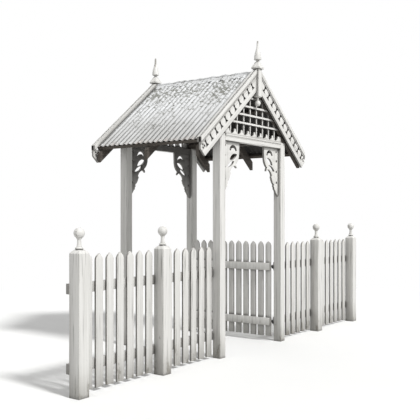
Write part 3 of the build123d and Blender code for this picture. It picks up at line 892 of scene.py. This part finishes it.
def finial_spire():
    """Turned neck, bell and spike that stand on the head."""
    spire = [(NECK_RADIUS, PYRAMID_TOP - 0.01), (NECK_RADIUS * 0.8, PYRAMID_TOP + 0.006)]
    spire.append((NECK_RADIUS * 0.85, BELL_FOOT - 0.008))
    spire += [(radius, BELL_FOOT + height) for radius, height in BELL_PROFILE]
    spire.append((0.0118, BELL_TOP + (FINIAL_TIP - BELL_TOP) * 0.6))
    return spire + [(radius, FINIAL_TIP + height) for radius, height in SPIKE_PROFILE]


def finial_pendant():
    """Turned ball on a short neck under the foot."""
    centre = PENDANT_FOOT + PENDANT_RADIUS * 0.9
    drop = ball_arc(PENDANT_RADIUS, centre, -85, 72)
    drop += [(PENDANT_NECK, centre + PENDANT_RADIUS), (PENDANT_NECK * 1.1, FINIAL_FOOT - 0.012)]
    return drop + [(0.020, FINIAL_FOOT + 0.002)]


def finial(node, end):
    """Square post with a pyramid head, a turned bell and spike above and a ball below."""
    y = end * FINIAL_Y
    side = 2 * FINIAL_HALF
    post = [(side - 2 * FOOT_CHAMFER, FINIAL_FOOT), (side, FINIAL_FOOT + FOOT_CHAMFER)]
    post.append((side, SHOULDER))
    soft = HEAD_SIDE - HEAD_SOFTENING
    head = [(soft, SHOULDER - 0.008), (HEAD_SIDE, SHOULDER), (HEAD_SIDE, HEAD_TOP - 0.002)]
    head += [(soft, HEAD_TOP), (2 * NECK_RADIUS + 0.006, HEAD_TOP + PYRAMID_RISE * 0.92)]
    head.append((2 * NECK_RADIUS, PYRAMID_TOP))
    parts = [stack_mesh(levels, (0, y)) for levels in (post, head)]
    parts += [lathe_mesh(profile, (0, y, 0)) for profile in (finial_spire(), finial_pendant())]
    piece(node + "_turned", gather(parts), PAINTED["z"], node)


# Gable lattice
SLAT_LEVELS = (2.714, 2.817, 2.920, 3.028)
SLAT_HEIGHT = 0.023
SLAT_THICKNESS = 0.018
LATTICE_PITCH = 0.142
LATTICE_WIDTH = 0.020
LATTICE_BATTENS = 8
CUSP_HEIGHT = 0.072
NOTCH_RADIUS = 0.056
NOTCH_STEPS = 12


def gable_x(z):
    """Half width of the gable at a height, under the end rafters."""
    return min(INNER_X, (roof_z(0, RAFTER_UNDERSIDE) - z) / SLOPE)


def slat_outline(level):
    """Level slat, its ends cut to the rafters."""
    low, high = level - SLAT_HEIGHT / 2, level + SLAT_HEIGHT / 2
    corners = [(-gable_x(low), low), (gable_x(low), low), (gable_x(high), high)]
    return corners + [(-gable_x(high), high)]


def batten_outline(centre):
    """Upright batten from the beam to the rafters."""
    left, right = centre - LATTICE_WIDTH / 2, centre + LATTICE_WIDTH / 2
    tops = [(x, roof_z(x, RAFTER_UNDERSIDE)) for x in (right, left)]
    return [(left, POST_TOP), (right, POST_TOP)] + tops


def cusped_outline(centres):
    """Board along the beam with a round notch at each centre."""
    top = POST_TOP + CUSP_HEIGHT
    cusps = [(INNER_X, POST_TOP), (INNER_X, top)]
    for centre in reversed(centres):
        for n in range(NOTCH_STEPS + 1):
            angle = -math.pi * n / NOTCH_STEPS
            across, up = NOTCH_RADIUS * math.cos(angle), NOTCH_RADIUS * math.sin(angle)
            cusps.append((centre + across, top + up))
    return cusps + [(-INNER_X, top), (-INNER_X, POST_TOP)]


def gable_lattice(node, end):
    """Slats in front of battens, with a cusped board along the beam."""
    front = FACE_Y - SLAT_THICKNESS / 2
    centres = [(n - (LATTICE_BATTENS - 1) / 2) * LATTICE_PITCH for n in range(LATTICE_BATTENS)]
    boards = [(slat_outline(level), front) for level in SLAT_LEVELS]
    boards += [(batten_outline(centre), front - SLAT_THICKNESS) for centre in centres]
    boards.append((cusped_outline(centres), front))
    layers = [([outline], SLAT_THICKNESS, y) for outline, y in boards]
    mesh = gather(facing_plates(layers, end, ease=0.0015))
    piece(node + "_work", mesh, SAWN["x"], node)


# Fretwork brackets, drawn as shares of their reach and drop
BRACKET_REACH = 0.350
BRACKET_DROP = 0.615
BRACKET_THICKNESS = 0.028
SCROLL = (
    (0.98, 0.23), (0.92, 0.34), (0.77, 0.425), (0.82, 0.453), (0.83, 0.497), (0.72, 0.457),
    (0.62, 0.468), (0.50, 0.518), (0.445, 0.582), (0.48, 0.604), (0.457, 0.632), (0.395, 0.707),
    (0.285, 0.764), (0.31, 0.793), (0.263, 0.818), (0.27, 0.85), (0.217, 0.871), (0.137, 0.936),
    (0, 1),
)
ARCH_TOP = ((0.40, 0.164), (0.61, 0.06), (0.83, 0.164))
ARCH_FOOT = ((0.75, 0.175), (0.61, 0.115), (0.475, 0.175))
UPPER_LEAF = ((0.85, 0.236), (0.605, 0.236), (0.40, 0.364), (0.65, 0.336), (0.85, 0.236))
LOWER_LEAF = ((0.675, 0.37), (0.435, 0.396), (0.263, 0.487), (0.48, 0.468), (0.675, 0.37))
EYELETS = ((0.143, 0.082), (0.126, 0.27), (0.126, 0.49), (0.12, 0.715))
EYELET_RADIUS = 0.0145


def fret(points):
    """Points of a bracket, from shares of its reach and drop."""
    return [(across * BRACKET_REACH, -down * BRACKET_DROP) for across, down in points]


def bracket(node, side, end):
    """Sawn bracket in the corner between a post and the tie beam."""
    outline = [(0, 0), (BRACKET_REACH, 0)] + arcs(*fret(SCROLL))
    holes = [arcs(*fret(ARCH_TOP)) + arcs(*fret(ARCH_FOOT))]
    holes += [arcs(*fret(leaf))[:-1] for leaf in (UPPER_LEAF, LOWER_LEAF)]
    holes += [round_hole(centre, EYELET_RADIUS) for centre in fret(EYELETS)]
    place = upright((side * INNER_X, end * POST_Y, BEAM_FOOT), (0, end, 0))
    drawn = mirrored([outline] + holes, side * end)
    mesh = gather([plate_mesh(drawn, BRACKET_THICKNESS, place, ease=0.0022)])
    piece(node + "_fret", mesh, SAWN["z"], node)


# Fence
DOME_SPRING = 1.276
DOME_RISE = 0.041
DOME_TOP = DOME_SPRING + DOME_RISE
DOME_STEPS = 8
DOME_POWER = 1 / 2.7
BALL_RADIUS = 0.050
BALL_CENTRE = 1.458
COLLAR_PROFILE = (
    (0.024, -0.021), (0.024, -0.006), (0.034, -0.001), (0.038, 0.004),
    (0.038, 0.010), (0.034, 0.015), (0.024, 0.020), (0.020, 0.045),
)
NECK_PROFILE = ((0.0185, -0.064), (0.020, -0.052), (0.026, -0.047))


def fence_post(node):
    """Square post with a domed top and a turned ball."""
    low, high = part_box(node)
    centre = ((low.x + high.x) / 2, (low.y + high.y) / 2)
    side = high.x - low.x
    levels = [(side, 0.0), (side, DOME_SPRING - 0.004)]
    for n in range(DOME_STEPS + 1):
        share = 0.985 * n / DOME_STEPS
        levels.append((side * (1 - share) ** DOME_POWER, DOME_SPRING + DOME_RISE * share))
    turned = [(radius, DOME_TOP + height) for radius, height in COLLAR_PROFILE]
    turned += [(radius, BALL_CENTRE + height) for radius, height in NECK_PROFILE]
    turned += ball_arc(BALL_RADIUS, BALL_CENTRE, -58, 88)
    parts = [stack_mesh(levels, centre, corner=0.0025), lathe_mesh(turned, (*centre, 0))]
    piece(node + "_turned", gather(parts), PAINTED["z"], node)


# Pickets and rails
BAY_PICKETS = (("inner", 6), ("outer", 7))
FENCE_PICKET_WIDTH = 0.095
FENCE_PICKET_FOOT = 0.030
LEAF_PICKET_WIDTH = 0.080
LEAF_PICKETS = 11
PICKET_THICKNESS = 0.020
PICKET_PLAY = 0.001
TOP_WANDER = 0.004
FOOT_WANDER = 0.003
LEAN = 0.0012
LEAN_PIVOT = 0.6
POINT_RISE = 0.062
POINT_STEPS = 8
RAIL_TOPS = (0.300, 1.010)
RAIL_HEIGHT = 0.095
RAIL_THICKNESS = 0.040
RAIL_EASE = 0.003
NAIL_HEAD = (0.0042, 0.0014)
NAIL_SUNK = 0.0004
NAIL_SPOTS = ((-0.24, 0.33), (0.22, 0.68))
NAIL_ASTRAY = (0.003, 0.004)
STRAP_THICKNESS = 0.004
STRAP_PICKETS = 4


def picket_outline(width, foot, top):
    """Picket with a pointed arch for its top."""
    half = width / 2
    spring = top - POINT_RISE
    arch = []
    for n in range(POINT_STEPS + 1):
        share = n / POINT_STEPS
        arch.append((half * (1 - share**1.9), spring + POINT_RISE * share**0.96))
    mirror_arch = [(-x, z) for x, z in reversed(arch[:-1])]
    return [(-half, foot), (half, foot)] + arch + mirror_arch


def picket_nails(place, centre, width):
    """Two nails through a picket into each rail, a little off their marks."""
    aside, up = NAIL_ASTRAY
    nails = []
    for rail in RAIL_TOPS:
        for across, down in NAIL_SPOTS:
            x = centre + across * width + random.uniform(-aside, aside)
            z = rail - RAIL_HEIGHT * down + random.uniform(-up, up)
            spot = place @ Matrix.Translation((x, z, PICKET_THICKNESS / 2 - NAIL_SUNK))
            nails.append(dome_mesh(*NAIL_HEAD, spot, steps=10))
    return nails


def picket_row(width, centres, foot, top, origin, toward):
    """Pickets side by side, each with its own small differences, nailed to the rails."""
    place = upright(origin, toward)
    parts = []
    for centre in centres:
        tip = top - TOP_WANDER * random.random()
        lean = random.uniform(-LEAN, LEAN)
        base = foot + FOOT_WANDER * random.random()
        outline = picket_outline(width - PICKET_PLAY, base, tip)
        shifted = [(centre + x + lean * (z - LEAN_PIVOT), z) for x, z in outline]
        parts.append(plate_mesh([shifted], PICKET_THICKNESS, place, ease=0.0022))
        parts += picket_nails(place, centre, width)
    return parts


def rails(size, x, y):
    """Both rails, as boards of one size with their centres at x and y."""
    return [board_mesh(size, (x, y, top - RAIL_HEIGHT / 2), RAIL_EASE) for top in RAIL_TOPS]


def fence_panel(node, pickets, left, right):
    """Pickets between two posts, on rails that run behind the posts."""
    low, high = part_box(node)
    width = FENCE_PICKET_WIDTH
    gap = (right - left - pickets * width) / (pickets + 1)
    centres = [left + gap + width / 2 + n * (width + gap) for n in range(pickets)]
    origin = (0, low.y + PICKET_THICKNESS / 2, 0)
    parts = picket_row(width, centres, FENCE_PICKET_FOOT, high.z, origin, (0, -1, 0))
    size = (high.x - low.x, RAIL_THICKNESS, RAIL_HEIGHT)
    parts += rails(size, (low.x + high.x) / 2, high.y - RAIL_THICKNESS / 2)
    piece(node + "_pickets", gather(parts), SAWN["z"], node)


def fence_bays(side_name, side):
    """Panels on one side, from the gatehouse post outwards."""
    start = side * OUTER_X
    for bay, pickets in BAY_PICKETS:
        low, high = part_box("fence_post_" + side_name + "_" + bay)
        near, far = (low.x, high.x) if side > 0 else (high.x, low.x)
        left, right = sorted((start, near))
        fence_panel("fence_panel_" + side_name + "_" + bay, pickets, left, right)
        start = far


def gate_leaf():
    """Leaf of pickets on two rails, with the bolts of its straps."""
    low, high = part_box("gate_leaf")
    pickets, width = LEAF_PICKETS, LEAF_PICKET_WIDTH
    gap = (high.y - low.y - pickets * width) / (pickets - 1)
    centres = [low.y + width / 2 + n * (width + gap) for n in range(pickets)]
    origin = (high.x - PICKET_THICKNESS / 2, 0, 0)
    parts = picket_row(width, centres, low.z, high.z, origin, (1, 0, 0))
    size = (RAIL_THICKNESS, high.y - low.y, RAIL_HEIGHT)
    parts += rails(size, low.x + RAIL_THICKNESS / 2, (low.y + high.y) / 2)
    piece("gate_leaf_pickets", gather(parts), SAWN_LEAF, "gate_leaf", LEAF)
    strap_bolts(high.x + STRAP_THICKNESS, centres[:STRAP_PICKETS])


# Fixings of the hinges
HINGE_LEVELS = tuple(top - RAIL_HEIGHT / 2 for top in RAIL_TOPS)
PLATE_HALF_WIDTH = 0.022
SCREW_SPREAD = 0.011
SCREW_RISE = 0.044
HEAD_SUNK = 0.0005
BOLT_HEAD = (0.0075, 0.0045)
PLATE_SCREW_HEAD = (0.0045, 0.0022)


def strap_bolts(face, spots):
    """Coach bolts through the straps, one in each picket that a strap crosses."""
    heads = []
    for level in HINGE_LEVELS:
        for spot in spots:
            place = upright((face - HEAD_SUNK, spot, level), (1, 0, 0))
            heads.append(dome_mesh(*BOLT_HEAD, place, steps=16))
    piece("strap_bolts", gather(heads), BLACK_IRON, body=LEAF)


def plate_screws():
    """Round-headed screws in the corners of the hinge plates."""
    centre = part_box("hinge_pins")[1].x - PLATE_HALF_WIDTH
    face = STRAP_THICKNESS - BACK_Y
    heads = []
    for level in HINGE_LEVELS:
        for x in (centre - SCREW_SPREAD, centre + SCREW_SPREAD):
            for z in (level - SCREW_RISE, level + SCREW_RISE):
                place = upright((x, face - HEAD_SUNK, z), (0, 1, 0))
                heads.append(dome_mesh(*PLATE_SCREW_HEAD, place))
    piece("plate_screws", gather(heads), BLACK_IRON)


SIDES = (("left", -1), ("right", 1))


def timber_gate():
    """Every piece of the gate. The order fixes the random draws."""
    gatehouse_frame()
    for name in ("hinge_straps", "hinge_pins"):
        dress(name, BLACK_IRON, ease=0.0008)
    roof_sheets()
    roof_screws()
    ridge_capping()
    for end_name, end in (("front", -1), ("rear", 1)):
        for side_name, side in SIDES:
            bargeboard("bargeboard_" + end_name + "_" + side_name, side, end)
            bracket("bracket_" + end_name + "_" + side_name, side, end)
        finial("finial_" + end_name, end)
        gable_lattice("gable_lattice_" + end_name, end)
    for side_name, _ in SIDES:
        for bay, _ in BAY_PICKETS:
            fence_post("fence_post_" + side_name + "_" + bay)
    for side_name, side in SIDES:
        fence_bays(side_name, side)
    gate_leaf()
    plate_screws()


timber_gate()


# Floor, light and camera
FLOOR_PALE = (0.88, 0.88, 0.87, 1)
FLOOR_PALER = (0.91, 0.91, 0.90, 1)
FLOOR_UNSEEN = (0.42, 0.42, 0.41, 1)
FLOOR_REACH = 60
FADE_TO_WHITE = (3.6, 8.0)
WORLD_LEVEL = 0.42


def seen_ray(tree):
    """One for rays that show the background: straight, mirrored or through glass."""
    path = tree.nodes.new("ShaderNodeLightPath")
    rays = [path.outputs["Is " + kind + " Ray"] for kind in ("Camera", "Glossy", "Transmission")]
    for ray in rays[1:]:
        either = tree.nodes.new("ShaderNodeMath")
        either.operation = "MAXIMUM"
        tree.links.new(rays[0], either.inputs[0])
        tree.links.new(ray, either.inputs[1])
        rays[0] = either.outputs["Value"]
    return rays[0]


def pale_floor():
    """Plain pale floor that keeps the shadows near the gate and fades to white far off."""
    n = Nodes("pale_floor")
    where = n.place()
    soft = n.noise(where, scale=0.8, detail=3)
    pale = n.mix(soft, FLOOR_PALE, FLOOR_PALER)
    colour = n.mix(seen_ray(n.tree), FLOOR_UNSEEN, pale)
    n.finish(colour, 0.9, n.bump(soft, 0.02, 0.001))
    reach = n.add("VectorMath", {0: where}, operation="LENGTH")
    far = n.ramp(reach.outputs["Value"], *FADE_TO_WHITE)
    white = n.add("Emission").outputs[0]
    blend = n.add("MixShader", {0: far, 1: n.shader.outputs[0], 2: white})
    n.fill(n.tree.nodes["Material Output"], {"Surface": blend.outputs[0]})
    return n.material


def lay_floor():
    """Floor far wider than the view."""
    reach = FLOOR_REACH
    corners = [(-reach, -reach, 0), (reach, -reach, 0), (reach, reach, 0), (-reach, reach, 0)]
    floor_mesh = bpy.data.meshes.new("floor")
    floor_mesh.from_pydata(corners, [], [(0, 1, 2, 3)])
    floor_mesh.materials.append(pale_floor())
    add_object("floor", floor_mesh)


def light_world():
    """White backdrop that lights the gate at a lower level than it shows."""
    world = bpy.data.worlds.new("studio")
    bpy.context.scene.world = world
    world.use_nodes = True
    tree = world.node_tree
    background = tree.nodes["Background"]
    background.inputs["Color"].default_value = (1, 1, 1, 1)
    level = tree.nodes.new("ShaderNodeMapRange")
    level.inputs["To Min"].default_value = WORLD_LEVEL
    level.inputs["To Max"].default_value = 1.0
    tree.links.new(seen_ray(tree), level.inputs["Value"])
    tree.links.new(level.outputs["Result"], background.inputs["Strength"])


def lamp(name, energy, spread, toward):
    """Distant lamp in the direction given, its shadows softened by its spread in degrees."""
    data = bpy.data.lights.new(name, "SUN")
    data.energy = energy
    data.angle = math.radians(spread)
    made = add_object(name, data)
    made.rotation_euler = Vector(toward).to_track_quat("Z", "Y").to_euler()


def viewpoint():
    """Level camera at eye height, where the drawing's own lines put it."""
    focal_pixels = 705.1
    heading = math.radians(35.64)
    horizon_row = 217.07
    frame_pixels = 420
    camera_data = bpy.data.cameras.new("camera")
    camera_data.sensor_width = 36
    camera_data.lens = camera_data.sensor_width * focal_pixels / frame_pixels
    camera_data.shift_y = (horizon_row - frame_pixels / 2) / frame_pixels
    camera = add_object("camera", camera_data)
    camera.location = (-7.262, -5.302, 1.6)
    camera.rotation_euler = (math.pi / 2, 0, heading - math.pi / 2)
    bpy.context.scene.camera = camera


lay_floor()
light_world()
lamp("key", energy=2.8, spread=9, toward=(-0.12, -0.74, 0.80))
lamp("fill", energy=0.5, spread=60, toward=(0.45, 0.75, 0.60))
viewpoint()
bpy.context.scene.view_settings.view_transform = "Standard"
